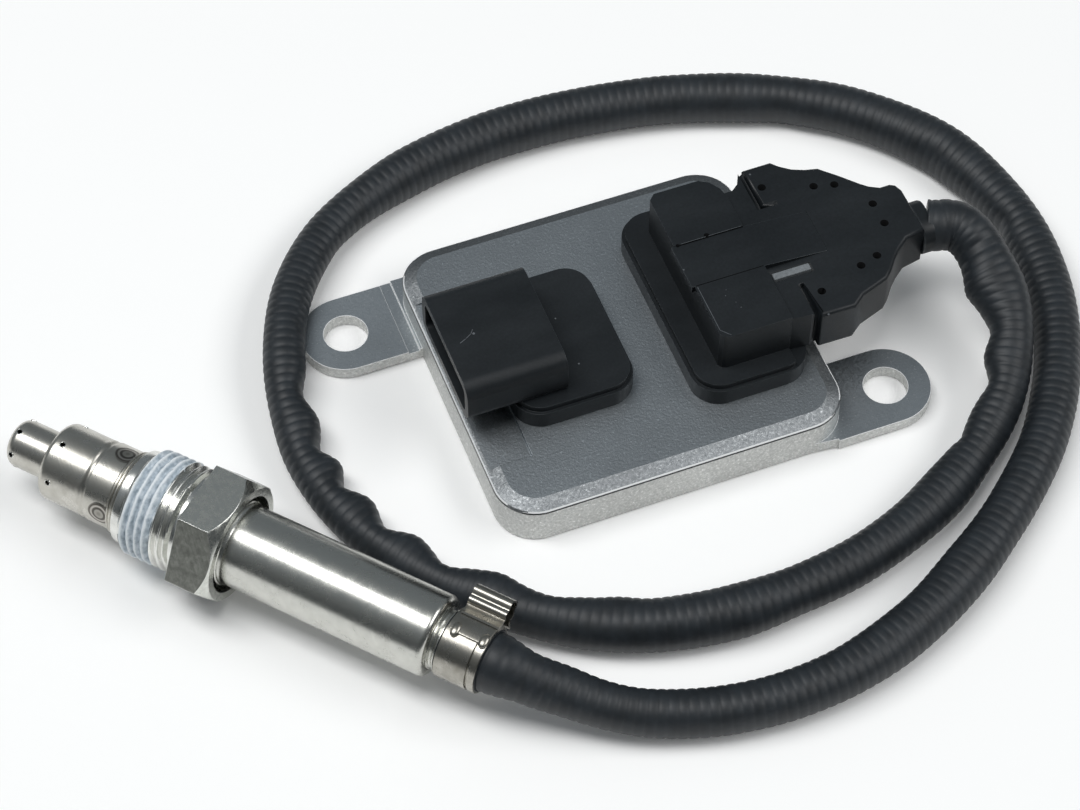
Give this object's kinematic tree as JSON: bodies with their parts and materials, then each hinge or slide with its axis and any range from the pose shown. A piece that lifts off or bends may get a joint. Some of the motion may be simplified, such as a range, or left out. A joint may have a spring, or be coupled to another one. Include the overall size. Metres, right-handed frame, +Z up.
{
  "type": "nitrogen oxide sensor",
  "caption": "Exhaust nitrogen oxide sensor: threaded probe on a ribbed sleeve, plugged into a flat cast control unit with two fixing ears and a hooded socket.",
  "frame": {"origin": "centre of the control unit's base, on the plane that the whole object lies on", "axes": "+X along the control unit from its open socket to the plugged-in cable, +Y across the unit towards the left ear's side, +Z up out of the unit's roof"},
  "size_m": [0.2015, 0.146, 0.024],
  "materials": {
    "cast_aluminium": "sand-cast satin",
    "plate": "satin",
    "seal": "matte",
    "board": "lacquered",
    "chip": "matte",
    "black_plastic": "fine satin",
    "contact": "tin plated",
    "silicone": "matte",
    "grey_plastic": "satin",
    "sleeve": "ribbed matte",
    "steel": "bright drawn",
    "nut_steel": "turned, nickel plated",
    "ceramic": "unglazed",
    "wires": "matte"
  },
  "bodies": {
    "sensor": {"housing": "cast_aluminium", "base_plate": "plate", "base_seal": "seal", "circuit_board": "board", "main_chip": "chip", "driver_chip": "chip", "socket": "black_plastic", "socket_seal": "seal", "socket_pin_1": "contact", "socket_pin_2": "contact", "socket_pin_3": "contact", "socket_pin_4": "contact", "socket_pin_5": "contact", "header": "black_plastic", "header_seal": "seal", "header_pins": "contact", "plug_insert": "black_plastic", "plug_seal": "silicone", "plug_contacts": "contact", "plug_shell": "black_plastic", "plug_latch": "black_plastic", "lock_bar": "grey_plastic", "outlet_boot": "black_plastic", "sleeve": "sleeve", "inner_tube": "steel", "outer_tube": "steel", "guard_ring": "steel", "probe_shell": "steel", "front_ceramic": "ceramic", "talc_packing": "ceramic", "rear_ceramic": "ceramic", "sensor_strip": "ceramic", "rear_tube": "steel", "contact_holder": "ceramic", "contact_springs": "contact", "grommet": "silicone", "neck_ring": "steel", "wire_bundle": "wires", "sleeve_end": "sleeve", "ear_clamp": "steel"},
    "gland_nut": {"gland_nut": "nut_steel"}
  },
  "joints": [
    {"name": "nut_spin", "type": "hinge", "parent": "sensor", "child": "gland_nut", "pos_m": [-0.0852, -0.0147, 0.011], "axis": [0.6534, -0.757, 0], "continuous": true}
  ]
}
